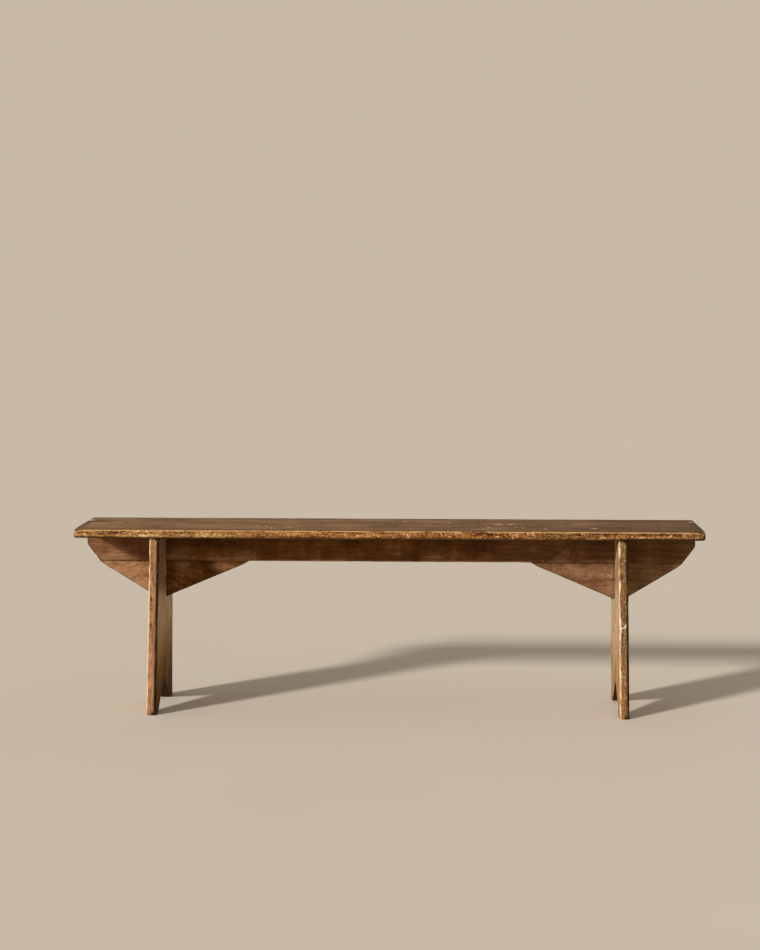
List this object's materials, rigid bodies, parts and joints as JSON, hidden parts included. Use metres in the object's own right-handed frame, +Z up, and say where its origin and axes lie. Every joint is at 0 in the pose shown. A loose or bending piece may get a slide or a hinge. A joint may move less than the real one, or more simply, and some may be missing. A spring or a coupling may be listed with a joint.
{
  "type": "farmhouse bench",
  "caption": "Long plank bench on bootjack end boards, with one lengthwise rail under the seat and triangular corner brackets, all worn old wood.",
  "frame": {"origin": "on the floor, under the middle of the seat", "axes": "+X along the bench, the front is towards -Y, +Z up"},
  "size_m": [1.524, 0.25, 0.457],
  "materials": {
    "seat_wood": "old dark finish, worn to golden wood along the edges",
    "leg_wood": "worn and rubbed, bare along the arrises",
    "rail_wood": "dark, dry reddish brown",
    "bracket_wood": "dry reddish brown",
    "nail_iron": "rusted cut iron"
  },
  "bodies": {
    "root": {"seat_board": "seat_wood", "left_leg": "leg_wood", "right_leg": "leg_wood", "rail": "rail_wood", "left_outer_bracket": "bracket_wood", "left_inner_bracket": "bracket_wood", "right_inner_bracket": "bracket_wood", "right_outer_bracket": "bracket_wood", "seat_nails": "nail_iron", "bracket_nails": "nail_iron"}
  },
  "joints": []
}
